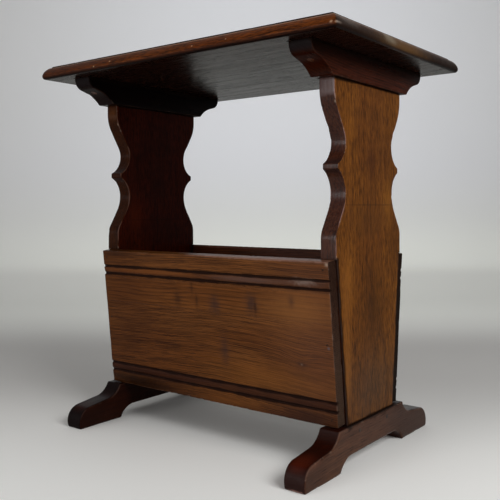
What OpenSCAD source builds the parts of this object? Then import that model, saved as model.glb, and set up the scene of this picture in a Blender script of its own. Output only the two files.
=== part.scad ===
// Side table with a magazine trough slung between two shaped end panels.
// Millimetres. The origin is on the floor under the middle of the table, X runs
// along its length, Y from the front (minus) to the back (plus) and Z up.

/* [Table] */
// Height of the table, floor to the upper face of the top board
table_h = 510; // [500:1:580]
// How far the top board runs on past the middle of each end panel
top_overhang = 61; // [48:1:75]

/* [Top board] */
// Length of the top board
top_l = 491; // [440:1:600]
// Width of the top board, front to back
top_w = 329; // [300:1:400]
// Thickness of the top board
top_t = 19; // [17:0.5:25]
// How far the moulded edge draws in, from its widest line to the upper arris
edge_draw = 10.5; // [5:0.5:14]
// Height of the small square step under the upper arris
edge_step = 2; // [1:0.5:3]
// Width of the flat at the foot of that step
edge_ledge = 1; // [0.5:0.5:2]
// Radius under the widest line of the moulded edge
edge_under = 5; // [2:0.5:6]
// How full the swell is: 2 gives a true quarter oval, less a flatter slope
edge_full = 1.45; // [1.2:0.05:2]
// Radius of the four corners of the top, seen from above
corner_r = 4; // [3:1:20]

/* [End panels] */
// Thickness of an end panel
panel_t = 21.5; // [16:0.5:24]
// How far the panel's head stands back from the top board's edge
head_inset = 80.5; // [74:0.5:83]
// How far the upper waist is cut in from the head's edge
upper_waist_in = 25; // [20:0.5:29]
// How far the lower waist is cut in from the head's edge
lower_waist_in = 24.3; // [20:0.1:29]
// How far the cusps between the waists stand back from the head's edge
cusp_in = 7.3; // [4:0.1:12]
// Height of the shoulder, percent of the way from the trough's rim up to the cleat
shoulder_pc = 10.8; // [8:0.1:14]
// Height of the lower waist, percent of the same way
lower_waist_pc = 36.8; // [33:0.1:40]
// Height of the cusp, percent of the same way
cusp_pc = 51.4; // [48:0.1:54]
// Height of the upper waist, percent of the same way
upper_waist_pc = 65.1; // [62:0.1:69]
// Height where the head reaches its full width, percent of the same way
head_pc = 94.2; // [88:0.1:97]
// Thickness of the cusp's blunt tip
cusp_tip = 6.6; // [4:0.2:9]
// How round the ogee curves are: 1 has no straight stretch between swell and hollow
ogee_round = 0.83; // [0.6:0.01:0.95]
// Share of the swell in the head's ogee curve
head_swell = 0.64; // [0.4:0.01:0.75]
// Share of the swell in the shoulder's ogee curve
shoulder_swell = 0.37; // [0.25:0.01:0.6]

/* [Panel tenons] */
// Thickness of the tenons
tenon_t = 8; // [6:0.5:10]
// Width of each tenon
tenon_w = 32; // [20:1:40]
// Width of the shoulder outside each foot tenon
tenon_margin = 7; // [4:0.5:12]
// Depth of the tenons in the foot
foot_tenon = 24; // [16:1:27]
// Depth of the tenons in the cleat
cleat_tenon = 20; // [12:1:26]

/* [Cleats] */
// How far a cleat's nose stands back from the top board's edge
cleat_inset = 24; // [18:0.5:27]
// Height of a cleat
cleat_h = 34; // [30:0.5:35]
// Thickness of a cleat
cleat_t = 31; // [25:0.5:34]
// Radius of the nose
cleat_nose_r = 14.5; // [11:0.5:16]
// Upright stretch of the nose, down from the top board
cleat_nose_drop = 2; // [1:0.5:4]
// Slope of the nearly flat stretch behind the nose, degrees
cleat_slope = 16; // [13:0.5:18]
// Length of the nearly flat stretch
cleat_flat = 11; // [8:0.5:15]
// Radius of the hollow
cleat_hollow_r = 50; // [42:1:60]

/* [Cleat screws] */
// Thread diameter of the screws that hold the top board
screw_d = 4.2; // [3.5:0.1:5]
// Length of the screws
screw_l = 30; // [24:1:32]
// Head diameter
screw_head_d = 8.2; // [7:0.1:9]
// How far each screw stands in from the cleat's nose
screw_in = 22; // [18:0.5:26]
// How deep each screw's head lies above the lowest point of its bore's rim
screw_sink = 3; // [2:0.5:4]

/* [Feet] */
// How far a foot's toe stands back from the top board's edge
foot_inset = 9; // [0:0.5:15]
// Height of a foot
foot_h = 49; // [46:0.5:50]
// Thickness of a foot
foot_t = 28; // [24:0.5:32]
// Radius of the toe
toe_r = 20; // [16:0.5:21]
// Height of the middle of the toe's curve
toe_h = 8.4; // [7:0.2:10]
// Slope of the nearly flat stretch behind the toe, degrees
foot_slope = 7; // [5:0.2:9]
// Length of the nearly flat stretch
foot_flat = 34.4; // [30:0.2:36]
// Radius of the hollow
foot_hollow_r = 28; // [26:0.5:31]
// Length of the pad at each end of the foot
pad_l = 76.5; // [50:0.5:90]
// Height of the arch
arch_h = 15.5; // [8:0.5:17]
// Radius of the arch's ends
arch_r = 27; // [20:1:34]

/* [Foot pegs] */
// Diameter of the pegs through the foot and the tenons
peg_d = 6; // [4:0.5:8]
// Depth of the pegs below the foot's upper face
peg_drop = 9; // [6:0.5:12]

/* [Trough boards] */
// Width of a trough board, measured up its slope
board_w = 195.2; // [190:0.2:198]
// Thickness of a trough board
board_t = 16.3; // [14:0.1:18]
// Lean of the trough boards from upright, degrees
board_lean = 6.2; // [5:0.1:6.6]
// How far the board's outer lower arris stands in from the end of the foot's seat
board_in = 6.8; // [4:0.1:9]
// How deep the boards are let in to the panels' edges at the rim
let_in = 2.5; // [1:0.1:6]
// Clear height between a foot and the outer lower arris
board_gap = 0.8; // [0.5:0.1:3]
// How far each end of a trough board stands back from the panel's outer face
board_back = 3; // [0:0.5:5]
// Radius of the grooves run along the outer face
groove_r = 2.1; // [2:0.1:3]
// Depth of the grooves
groove_depth = 1.8; // [1.4:0.1:2]
// Upper pair: distance from the upper edge to the first groove
upper_groove = 22.4; // [14:0.2:40]
// Lower pair: distance from the lower edge to the first groove
lower_groove = 18.4; // [14:0.2:40]
// Distance between the two grooves of a pair
groove_pitch = 10.8; // [8:0.2:16]

/* [Trough bottom] */
// Thickness of the bottom board
bottom_t = 9; // [6:0.5:10]
// Height of its underside
bottom_h = 60; // [56:1:66]
// Depth of its housing in each trough board
housing = 5; // [4:0.5:8]

/* [Trough nails] */
// Diameter of the nails
nail_d = 2; // [1.6:0.1:2.6]
// Length of the nails
nail_l = 38; // [32:1:44]
// Diameter of the lost head
nail_head_d = 3; // [2.8:0.1:3.6]
// Length of the lost head
nail_head_l = 2; // [1.5:0.1:2.5]
// How deep the head is punched below the board's face
nail_punch = 1.2; // [0.8:0.1:2]
// Distance of the end nails from the board's edges
nail_edge = 9.5; // [8:0.5:12]

/* [Hidden] */
$fn = 48;

// Colours, as the stained oak and the metal look
stain = [0.30, 0.17, 0.09];
dark_stain = [0.17, 0.09, 0.06];
steel = [0.45, 0.43, 0.40];

// Steps along one rounded stretch of an outline
steps = 10;
// Extra length of a cutting solid past the face it opens
over = 1;

leg_x = top_l / 2 - top_overhang;
under_h = table_h - top_t;
panel_top = under_h - cleat_h;
board_l = 2 * (leg_x - board_back) + panel_t;
board_z = foot_h + board_gap;
bottom_l = 2 * leg_x - panel_t;

function arc(c, r, from, to) =
    [for (i = [0 : steps]) let (a = from + (to - from) * i / steps) c + r * [cos(a), sin(a)]];
function mirrored(p) = [for (i = [len(p) - 1 : -1 : 0]) [-p[i][0], p[i][1]]];
function whole(p) = concat(p, mirrored(p));
function turned_over(p, z) = [for (q = p) [q[0], z - q[1]]];

// Ogee end of a foot or a cleat, from the nose to the seat: a round nose, a nearly
// flat stretch and a hollow that climbs to the seat. n is the nose's reach, w the height
// of its middle, r its radius, a the slope, t the flat's length, h the hollow's radius
function ogee(n, w, r, a, t, h, seat, from) =
    let (tip = [n - r, w],
         end = tip + r * [sin(a), cos(a)] + t * [-cos(a), sin(a)],
         mid = end + h * [sin(a), cos(a)])
    concat(arc(tip, r, from, 90 - a), arc(mid, h, 270 - a, 180 + asin((mid[1] - seat) / h)));

foot_side = ogee(top_w / 2 - foot_inset, toe_h, toe_r, foot_slope, foot_flat, foot_hollow_r,
    foot_h, -asin(toe_h / toe_r));
cleat_end = top_w / 2 - cleat_inset;
cleat_side = concat([[cleat_end, 0]], ogee(cleat_end, cleat_nose_drop, cleat_nose_r,
    cleat_slope, cleat_flat, cleat_hollow_r, cleat_h, 0));
board_foot_y = foot_side[len(foot_side) - 1][0] - board_in;
screw_off = cleat_end - screw_in;
arch_end = top_w / 2 - foot_inset - pad_l;

// Half the clear width between the trough boards' inner faces at height z
function inner_y(z) = board_foot_y + (z - board_z) * tan(board_lean) - board_t / cos(board_lean);
bottom_w = 2 * (inner_y(bottom_h + bottom_t / 2) + housing);

// Lowest point of a cleat's nearly flat stretch over the screw, down from the top board
nose_end = [cleat_end - cleat_nose_r * (1 - sin(cleat_slope)),
    cleat_nose_drop + cleat_nose_r * cos(cleat_slope)];
screw_drop = nose_end[1] + (nose_end[0] - screw_off) * tan(cleat_slope);
screw_z = under_h - screw_drop + screw_sink;
head_l = (screw_head_d - screw_d) / 2;

// Places of the nails, up the slope of the board
nail_u = [nail_edge, board_w / 2, board_w - nail_edge];

// A point of a trough board's section: u up the slope, v in from the outer face
function on_board(u, v) = [board_foot_y, board_z]
    + u * [sin(board_lean), cos(board_lean)] + v * [-cos(board_lean), sin(board_lean)];
inner_foot = on_board(0, board_t);
inner_head = on_board(board_w, board_t);
shoulder_y = inner_head[0] + let_in;
notch_z = inner_head[1] - let_in * tan(board_lean);
panel_foot_y = inner_foot[0] - (inner_foot[1] - foot_h) * tan(board_lean);
tenon_off = panel_foot_y - tenon_margin - tenon_w / 2;

// Edge of an end panel. A height is given as percent of the way from rim to cleat
function up(percent) = notch_z + (panel_top - notch_z) * percent / 100;
head_y = top_w / 2 - head_inset;
cusp_y = head_y - cusp_in;
upper_waist = [head_y - upper_waist_in, up(upper_waist_pc)];
lower_waist = [head_y - lower_waist_in, up(lower_waist_pc)];
head = [head_y, up(head_pc)];
shoulder = [shoulder_y, up(shoulder_pc)];

// Radius of the arc that leaves a waist upright and reaches a point in wide, out high
function reach(in, out) = (pow(in, 2) + pow(out, 2)) / (2 * in);

// Ogee curve from a waist to a full width, both upright: a hollow, a straight line and
// a swell. share is the swell's part of the two radii
function wave(waist, full, share) =
    let (in = full[0] - waist[0],
         out = full[1] - waist[1],
         way = sign(out),
         sum = ogee_round * reach(in, out),
         hollow = waist + [sum * (1 - share), 0],
         swell = full - [sum * share, 0],
         a = asin(sum / norm(hollow - swell)) - atan2(hollow[0] - swell[0], abs(out)))
    concat(arc(hollow, sum * (1 - share), 180, 180 - way * a),
           arc(swell, sum * share, -way * a, 0));

// Arc from a waist to the near side of the cusp's tip
function to_cusp(waist, out) =
    let (in = cusp_y - waist[0], r = reach(in, out), a = sign(out) * acos(1 - in / r))
    arc(waist + [r, 0], r, 180, 180 - a);

function backwards(p) = [for (i = [len(p) - 1 : -1 : 0]) p[i]];

panel_edge = concat(
    [[head_y, panel_top]],
    backwards(wave(upper_waist, head, head_swell)),
    to_cusp(upper_waist, up(cusp_pc) + cusp_tip / 2 - upper_waist[1]),
    backwards(to_cusp(lower_waist, up(cusp_pc) - cusp_tip / 2 - lower_waist[1])),
    wave(lower_waist, shoulder, shoulder_swell),
    [[shoulder_y, notch_z], inner_head, inner_foot, [panel_foot_y, foot_h]]);

// A flat outline stood up across the table, t thick about its own middle
module upright(t) {
    rotate([90, 0, 90]) translate([0, 0, -t / 2]) linear_extrude(t) children();
}

// Outline of the top board's edge across a given size: a round underside, an oval
// swell and a small square step under the upper arris
module moulded(size) {
    swell_h = top_t - edge_step - edge_under;
    swell_w = edge_draw - edge_ledge;
    side = concat(
        arc([size / 2 - edge_under, edge_under], edge_under, -90, 0),
        [for (i = [1 : steps]) let (a = 90 * i / steps)
            [size / 2 - swell_w * (1 - pow(cos(a), 2 / edge_full)),
             edge_under + swell_h * pow(sin(a), 2 / edge_full)]],
        [[size / 2 - edge_draw, top_t - edge_step], [size / 2 - edge_draw, top_t]]);
    polygon(whole(side));
}

module rounded_plate(l, w, r) {
    square([l - 2 * r, w], center = true);
    square([l, w - 2 * r], center = true);
    for (x = [-1, 1], y = [-1, 1])
        translate([x * (l / 2 - r), y * (w / 2 - r)]) circle(r);
}

// Where the four screws stand
module at_screws() {
    for (x = [-leg_x, leg_x], y = [-screw_off, screw_off]) translate([x, y, screw_z]) children();
}

module screw_body() {
    cylinder(d1 = screw_head_d, d2 = screw_d, h = head_l);
    translate([0, 0, head_l]) cylinder(d = screw_d, h = screw_l - head_l);
}

// The bore below each screw's head
module screw_bore() {
    translate([0, 0, -screw_drop]) cylinder(d = screw_head_d, h = screw_drop);
}

module top_board() {
    color(stain) difference() {
        translate([0, 0, under_h]) intersection() {
            upright(top_l) moulded(top_w);
            rotate([0, 0, 90]) upright(top_w) moulded(top_l);
            linear_extrude(top_t) rounded_plate(top_l, top_w, corner_r);
        }
        at_screws() screw_body();
    }
}

// The tenons of one end panel, at its foot and at its head
module tenons() {
    for (y = [-tenon_off, tenon_off]) {
        translate([-tenon_t / 2, y - tenon_w / 2, foot_h - foot_tenon])
            cube([tenon_t, tenon_w, foot_tenon]);
        translate([-tenon_t / 2, y - tenon_w / 2, panel_top])
            cube([tenon_t, tenon_w, cleat_tenon]);
    }
}

module cleat_blank(x) {
    translate([x, 0, 0]) upright(cleat_t) polygon(turned_over(whole(cleat_side), under_h));
}

module cleat(x) {
    color(stain) difference() {
        cleat_blank(x);
        translate([x, 0, 0]) tenons();
        at_screws() {
            screw_body();
            screw_bore();
        }
    }
}

// Oak plugs that close the bores, cut flush with the cleats
module screw_plugs() {
    color(stain) intersection() {
        at_screws() screw_bore();
        union() {
            cleat_blank(-leg_x);
            cleat_blank(leg_x);
        }
    }
}

// Where the pegs of one foot lie
module at_pegs() {
    for (y = [-tenon_off, tenon_off]) translate([0, y, foot_h - peg_drop])
        rotate([0, 90, 0]) children();
}

module end_panel(x) {
    color(stain) difference() {
        translate([x, 0, 0]) difference() {
            union() {
                upright(panel_t) polygon(whole(panel_edge));
                tenons();
            }
            at_pegs() cylinder(d = peg_d, h = foot_t, center = true);
        }
        nails(-1);
        nails(1);
    }
}

module foot(x) {
    arch_mid = [arch_end - sqrt(pow(arch_r, 2) - pow(arch_r - arch_h, 2)), arch_h - arch_r];
    arch_side = arc(arch_mid, arch_r, asin((arch_r - arch_h) / arch_r), 90);
    color(dark_stain) translate([x, 0, 0]) difference() {
        upright(foot_t) difference() {
            polygon(whole(foot_side));
            polygon(concat([[arch_end, -over]], whole(arch_side), [[-arch_end, -over]]));
        }
        tenons();
        at_pegs() cylinder(d = peg_d, h = foot_t + 2 * over, center = true);
    }
}

// Section of a trough board lying in its own frame: u up the slope, v in from the
// outer face, with the two pairs of grooves
module board_section() {
    groove_v = groove_depth - groove_r;
    difference() {
        square([board_w, board_t]);
        for (u = [lower_groove, lower_groove + groove_pitch,
                  board_w - upper_groove, board_w - upper_groove - groove_pitch])
            translate([u, groove_v]) circle(groove_r);
    }
}

// Lays a shape drawn in a board's own frame (u, v, length) on the back of the trough,
// side 1, or on the front, side -1
module on_side(side) {
    mirror([0, side < 0 ? 1 : 0, 0]) translate([0, board_foot_y, board_z])
        rotate([-board_lean, 0, 0]) rotate([0, -90, 0]) mirror([0, 1, 0]) children();
}

// The six nails of one trough board, each driven square to the outer face
module nails(side) {
    on_side(side) for (x = [-leg_x, leg_x], u = nail_u)
        translate([u, nail_punch, x]) rotate([-90, 0, 0]) {
            cylinder(d = nail_head_d, h = nail_head_l);
            cylinder(d = nail_d, h = nail_l);
        }
}

module trough_board(side) {
    color(stain) difference() {
        on_side(side) translate([0, 0, -board_l / 2]) linear_extrude(board_l) board_section();
        bottom_plank();
        nails(side);
        on_side(side) for (x = [-leg_x, leg_x], u = nail_u)
            translate([u, -over, x]) rotate([-90, 0, 0])
                cylinder(d = nail_head_d, h = nail_punch + 2 * over);
    }
}

module bottom_plank() {
    translate([-bottom_l / 2, -bottom_w / 2, bottom_h]) cube([bottom_l, bottom_w, bottom_t]);
}

module trough_bottom_board() {
    color(dark_stain) bottom_plank();
}

module cleat_screws() {
    color(steel) at_screws() screw_body();
}

module foot_pegs() {
    color(dark_stain) for (x = [-leg_x, leg_x]) translate([x, 0, 0])
        at_pegs() cylinder(d = peg_d, h = foot_t, center = true);
}

top_board();
cleat(-leg_x);  // cleat_left
cleat(leg_x);  // cleat_right
end_panel(-leg_x);  // end_panel_left
end_panel(leg_x);  // end_panel_right
foot(-leg_x);  // foot_left
foot(leg_x);  // foot_right
trough_board(-1);  // trough_front_board
trough_board(1);  // trough_back_board
trough_bottom_board();
cleat_screws();
screw_plugs();
foot_pegs();
color(steel) nails(-1);  // front_board_nails
color(steel) nails(1);  // back_board_nails
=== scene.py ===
from math import acos, asin, atan2, cos, degrees, hypot, pi, radians, sin, sqrt, tan

import bmesh
import bpy
import numpy as np
from mathutils import Matrix, Vector, geometry, kdtree, noise


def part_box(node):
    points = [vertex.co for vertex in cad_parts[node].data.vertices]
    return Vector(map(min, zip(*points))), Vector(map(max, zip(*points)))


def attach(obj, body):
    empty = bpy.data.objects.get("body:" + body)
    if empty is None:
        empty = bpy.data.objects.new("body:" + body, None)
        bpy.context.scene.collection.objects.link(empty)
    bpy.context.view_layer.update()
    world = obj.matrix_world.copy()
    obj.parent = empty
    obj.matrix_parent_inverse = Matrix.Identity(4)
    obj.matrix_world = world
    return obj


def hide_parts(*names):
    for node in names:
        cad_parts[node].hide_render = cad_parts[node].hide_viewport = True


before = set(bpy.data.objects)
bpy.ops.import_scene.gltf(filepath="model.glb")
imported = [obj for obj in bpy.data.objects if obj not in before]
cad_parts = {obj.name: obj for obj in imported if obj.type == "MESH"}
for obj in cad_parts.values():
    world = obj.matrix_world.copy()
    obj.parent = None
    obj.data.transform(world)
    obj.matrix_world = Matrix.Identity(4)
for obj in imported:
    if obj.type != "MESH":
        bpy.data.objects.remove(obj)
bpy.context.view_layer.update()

# The camera looks at the table from the right of the front, a little below the lower waist
# of the end panels, so that the underside of the top is seen at a low angle.


def new_object(name, data):
    made = bpy.data.objects.new(name, data)
    bpy.context.scene.collection.objects.link(made)
    return made


camera = new_object("camera", bpy.data.cameras.new("camera"))
camera.location = (0.61841, -0.79518, 0.30686)
camera.rotation_euler = (radians(90.7025), radians(0.1947), radians(37.9356))
camera.data.sensor_width = 36.0
camera.data.lens = 51.491
camera.data.shift_x = 0.00946
camera.data.shift_y = -0.10351
camera.data.clip_start = 0.05
bpy.context.scene.camera = camera
bpy.context.scene.view_settings.view_transform = "Standard"

# The two feet are sledges of oak, bandsawn with a round toe at each end and an arch
# underneath, stained nearly black. The end panels stand on them in two tenons each.
table_length, table_width, leg_inset = 0.491, 0.329, 0.061
leg_x = table_length / 2 - leg_inset
legs = (("left", -leg_x), ("right", leg_x))
foot_height, foot_thick, foot_inset = 0.049, 0.028, 0.009
toe_height, toe_radius, toe_slope, toe_flat, toe_hollow = 0.0084, 0.020, 7, 0.0344, 0.028
arch_height, arch_radius, pad_length = 0.0155, 0.027, 0.0765


def arc(middle, radius, start, stop, steps=26):
    turn = [radians(start + (stop - start) * i / steps) for i in range(steps + 1)]
    return [(middle[0] + radius * cos(a), middle[1] + radius * sin(a)) for a in turn]


def ogee_end(nose, height, radius, slope, flat, hollow, seat, start):
    """A round nose, a sloping flat and a hollow that rises to the seat."""
    s, c = sin(radians(slope)), cos(radians(slope))
    tip = (nose - radius, height)
    end = (tip[0] + radius * s - flat * c, tip[1] + radius * c + flat * s)
    mid = (end[0] + hollow * s, end[1] + hollow * c)
    last = 180 + degrees(asin((mid[1] - seat) / hollow))
    return arc(tip, radius, start, 90 - slope) + arc(mid, hollow, 270 - slope, last)


def both_halves(half):
    return half + [(-a, b) for a, b in reversed(half)]


def eased_corners(outline, ease):
    """Rounds each sharp corner of a closed outline. ease is a length, or gives one for a point."""
    points = [Vector(p) for p in outline]
    points = [p for i, p in enumerate(points) if (p - points[i - 1]).length > 1e-6]
    count = len(points)

    def walk(i, way, reach):
        here = points[i]
        for k in range(1, count):
            there = points[(i + way * k) % count]
            step = (there - here).length
            if step >= reach:
                return here + (there - here) * (reach / step), k
            reach, here = reach - step, there

    swallowed, rounded = set(), {}
    for i, p in enumerate(points):
        turn = (p - points[i - 1]).angle(points[(i + 1) % count] - p)
        reach = ease(p) if callable(ease) else ease
        if turn > radians(22) and reach > 0:
            enter, back = walk(i, -1, reach)
            leave, on = walk(i, 1, reach)
            swallowed.update((i + k) % count for k in range(1 - back, on))
            rounded[i] = [
                enter * (1 - t) ** 2 + p * 2 * t * (1 - t) + leave * t * t
                for t in (0, 0.2, 0.4, 0.6, 0.8, 1)
            ]
    return [q for i, p in enumerate(points) for q in rounded.get(i, () if i in swallowed else (p,))]


def spaced(outline, pitch):
    """Points along a closed outline, no further apart than about the pitch."""
    made = []
    for i, p in enumerate(outline):
        q = outline[(i + 1) % len(outline)]
        parts = max(1, round((q - p).length / pitch))
        made += [p.lerp(q, k / parts) for k in range(parts)]
    return [p for i, p in enumerate(made) if (p - made[i - 1]).length > 1e-5]


def inward(outline):
    """Unit steps into the wood at each point of a closed outline, longer at a corner."""
    after = outline[1:] + outline[:1]
    hand = 1 if sum(p.x * q.y - q.x * p.y for p, q in zip(outline, after)) > 0 else -1
    steps = []
    for i, (p, q) in enumerate(zip(outline, after)):
        a = (p - outline[i - 1]).normalized()
        mid = (a + (q - p).normalized()).normalized()
        steps.append(Vector((-mid.y, mid.x)) * hand / max(0.75, mid.dot(a)))
    return steps


def face_fill(loop, pitch):
    """Points for a flat face inside a closed loop: close together near its edge, wide apart within."""
    ring = np.array([tuple(p) for p in loop])
    low, high = ring.min(0), ring.max(0)
    level, up = (np.arange(low[k] + pitch / 2, high[k], pitch) for k in (0, 1))
    tries = [np.array([(a, b) for j, b in enumerate(up) for a in level + (j % 2) * pitch / 2])]
    steps = np.array([tuple(s) for s in inward(loop)])
    gaps = [0.7 * pitch]
    for deep, every in ((0.0012, 1), (0.003, 2), (0.006, 3)):
        tries.append((ring + steps * deep)[::every])
        gaps.append(0.86 * deep)
    kept = []
    for points, gap in zip(tries, gaps):
        if not len(points):
            continue
        inside = np.zeros(len(points), bool)
        away = np.full(len(points), 1e9)
        for p, q in zip(ring, np.roll(ring, -1, 0)):
            over = (p[1] > points[:, 1]) != (q[1] > points[:, 1])
            if p[1] != q[1]:
                cut = p[0] + (points[:, 1] - p[1]) * (q[0] - p[0]) / (q[1] - p[1])
                inside ^= over & (points[:, 0] < cut)
            along = np.clip(((points - p) @ (q - p)) / max(1e-12, (q - p) @ (q - p)), 0, 1)
            away = np.minimum(away, np.linalg.norm(points - p - along[:, None] * (q - p), axis=1))
        kept += [Vector(p) for p in points[inside & (away > gap)]]
    return kept


def bands(rings, count):
    """Faces between neighbouring rings of points."""
    return [
        tuple((r + up) * count + (i + on) % count for up, on in ((0, 0), (0, 1), (1, 1), (1, 0)))
        for r in range(rings - 1)
        for i in range(count)
    ]


def new_piece(name, verts, faces):
    """A mesh with its faces turned outwards, as an object."""
    mesh = bpy.data.meshes.new(name)
    mesh.from_pydata(verts, [], faces)
    shell = bmesh.new()
    shell.from_mesh(mesh)
    bmesh.ops.recalc_face_normals(shell, faces=shell.faces)
    shell.to_mesh(mesh)
    shell.free()
    return new_object(name, mesh)


def skinned(name, rings, place, pitch=0.009):
    """A closed solid through rings of points (a, b, c), with flat faces over its first and last ring."""
    count = len(rings[0])
    verts = [place(*p) for ring in rings for p in ring]
    faces = bands(len(rings), count)
    for ring, first in ((rings[0], 0), (rings[-1], (len(rings) - 1) * count)):
        loop = [Vector(p[:2]) for p in ring]
        flat, _, cells, origin, _, _ = geometry.delaunay_2d_cdt(
            loop + face_fill(loop, pitch), [], [list(range(count))], 1, 1e-7
        )
        known = {}
        for i, p in enumerate(flat):
            source = min(origin[i]) if origin[i] else count
            known[i] = first + source if source < count else len(verts)
            if source >= count:
                verts.append(place(p.x, p.y, ring[0][2]))
        for cell in cells:
            corners = [known[i] for i in cell]
            if len(set(corners)) > 2:
                faces.append(corners)
    return new_piece(name, verts, faces)


def worked(name, outline, length, ease, place, stations=(0.0015, 0.004), fill=0.009):
    """A piece of one outline with eased arrises, from c = half its length to minus half, and its arrises."""
    steps = inward(outline)
    half = length / 2
    levels = [
        (ease * (1 - sin(radians(a))), half - ease * (1 - cos(radians(a)))) for a in (0, 30, 60, 90)
    ]
    levels += [(0, half - ease - s) for s in stations if s < half - ease]
    levels += [(inset, -c) for inset, c in reversed(levels) if c > 1e-6]
    rings = [
        [(p.x + s.x * inset, p.y + s.y * inset, c) for p, s in zip(outline, steps)]
        for inset, c in levels
    ]
    return skinned(name, rings, place, fill), [place(*p) for ring in (rings[1], rings[-2]) for p in ring]


def across(x):
    """Lays an outline across the table, with its thickness along the table's length."""
    return lambda a, b, c: Vector((x + c, a, b))


def line(start, stop, pitch=0.003):
    start, stop = Vector(start), Vector(stop)
    parts = max(1, round((stop - start).length / pitch))
    return [start.lerp(stop, i / parts) for i in range(parts + 1)]


def long_edges(x, half_x, half_y, z):
    return [p for a in (x - half_x, x + half_x) for p in line((a, -half_y, z), (a, half_y, z))]


def footprint(x, half_x, half_y, z):
    """Points round the flat end of a piece that meets another."""
    short_edges = [p for b in (-half_y, half_y) for p in line((x - half_x, b, z), (x + half_x, b, z))]
    return long_edges(x, half_x, half_y, z) + short_edges


def near(points):
    found = kdtree.KDTree(len(points))
    for i, p in enumerate(points):
        found.insert(p, i)
    found.balance()
    return lambda p: found.find(p)[2]


def hand_worn(piece, arrises, joints, depth=0.0005, bruise=0.0012):
    """Rubs the arrises down unevenly, and notes on each point how far it is from arris and joint."""
    mesh = piece.data
    to_arris, to_joint = near(arrises), near(joints)
    arris = [to_arris(v.co) for v in mesh.vertices]
    joint = [min(0.05, to_joint(v.co)) for v in mesh.vertices]
    normals = [v.normal.copy() for v in mesh.vertices]
    for v, n, d in zip(mesh.vertices, normals, arris):
        rub = depth * (0.5 + noise.noise(v.co * 31 + Vector((7, 1, 3))))
        knock = noise.noise(v.co * 83 + Vector((2, 9, 5)))
        rub = max(0.0, rub) + max(0.0, knock - 0.34) * bruise * 3
        v.co -= n * rub * max(0.0, 1 - d / 0.0024) ** 2
    for label, values in (("arris", arris), ("joint", joint)):
        mesh.attributes.new(label, "FLOAT", "POINT").data.foreach_set("value", values)
    mesh.shade_smooth()
    mesh.set_sharp_from_angle(angle=radians(52))


def hue(red, green, blue):
    """A colour as the eye reads it, 0 to 255, turned to the shader's own scale."""
    scale = [v / 255 for v in (red, green, blue)]
    return (*[v / 12.92 if v <= 0.04045 else ((v + 0.055) / 1.055) ** 2.4 for v in scale], 1.0)


def put(tree, kind, inputs=None, **settings):
    """Adds a node. Each input is a value, or another node's output that is joined to it."""
    node = tree.nodes.new("ShaderNode" + kind)
    for key, value in settings.items():
        setattr(node, key, value)
    for key, value in (inputs or {}).items():
        if isinstance(value, bpy.types.NodeSocket):
            tree.links.new(value, node.inputs[key])
        else:
            node.inputs[key].default_value = value
    return node


def sums(tree, operation, *values, clamp=False):
    return put(tree, "Math", dict(enumerate(values)), operation=operation, use_clamp=clamp).outputs[0]


def times(tree, a, b):
    return sums(tree, "MULTIPLY", a, b)


def times_plus(tree, a, b, c, clamp=False):
    return sums(tree, "MULTIPLY_ADD", a, b, c, clamp=clamp)


def plus(tree, a, b, clamp=False):
    return sums(tree, "ADD", a, b, clamp=clamp)


def vector_sums(tree, operation, *values, out=0):
    return put(tree, "VectorMath", dict(enumerate(values)), operation=operation).outputs[out]


def scaled(tree, vector, factor):
    return put(tree, "VectorMath", {0: vector, "Scale": factor}, operation="SCALE").outputs[0]


def ramp(tree, value, start, stop, low=0.0, high=1.0):
    ends = {0: value, 1: start, 2: stop, 3: low, 4: high}
    return put(tree, "MapRange", ends, interpolation_type="SMOOTHSTEP").outputs[0]


def blended(tree, share, under, upper, how="MIX"):
    return put(tree, "Mix", {0: share, 6: under, 7: upper}, data_type="RGBA", blend_type=how).outputs[2]


def speckle(tree, place, stretch, detail=2.0, rough=0.5, colour=False):
    spread = vector_sums(tree, "MULTIPLY", place, stretch)
    node = put(tree, "TexNoise", {"Vector": spread, "Scale": 1.0, "Detail": detail, "Roughness": rough})
    return node.outputs["Color" if colour else 0]


def stray(tree, place, stretch, detail, rough, reach):
    """A step to one side that changes slowly from place to place."""
    step = speckle(tree, place, stretch, detail, rough, colour=True)
    return scaled(tree, vector_sums(tree, "SUBTRACT", step, (0.5, 0.5, 0.5)), reach)


def new_effect(name, takes, gives):
    """A node group with named inputs, each with its first value, and named outputs."""
    group = bpy.data.node_groups.new(name, "ShaderNodeTree")
    kinds = {"v": "NodeSocketVector", "f": "NodeSocketFloat", "c": "NodeSocketColor"}
    for label, (kind, value) in takes.items():
        socket = group.interface.new_socket(label, in_out="INPUT", socket_type=kinds[kind])
        if value is not None:
            socket.default_value = value
    for label, kind in gives.items():
        group.interface.new_socket(label, in_out="OUTPUT", socket_type=kinds[kind])
    enter, leave = group.nodes.new("NodeGroupInput"), group.nodes.new("NodeGroupOutput")
    return group, enter.outputs, leave.inputs


# Grain of plain sawn oak: rings about a heart that runs along the first axis, broken
# fibres that hold the stain, open pores, rays, and slow changes of tone.
oak_grain, given, made = new_effect(
    "oak grain",
    {
        "Place": ("v", None), "Along": ("v", (1, 0, 0)), "Ring width": ("f", 0.003),
        "Wander": ("f", 0.012), "Light": ("c", hue(120, 72, 38)), "Dark": ("c", hue(60, 33, 17)),
        "Pore": ("c", hue(28, 13, 7)), "Golden": ("c", hue(132, 84, 38)), "Fibres": ("v", (25, 400, 400)),
        "Fibre": ("f", 1.6), "Streak": ("f", 1.0), "Ring": ("f", 0.6), "Ripple": ("f", 0.0035),
        "Rays": ("f", 0.3), "End grain": ("c", hue(40, 25, 18)),
    },
    {"Color": "c", "Gloss loss": "f", "Height": "f"},
)
t = oak_grain
drift = stray(t, given["Place"], (1.7, 5.5, 5.5), 3.0, 0.55, given["Wander"])
ripple = stray(t, given["Place"], (11, 26, 26), 2.0, 0.5, given["Ripple"])
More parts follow.
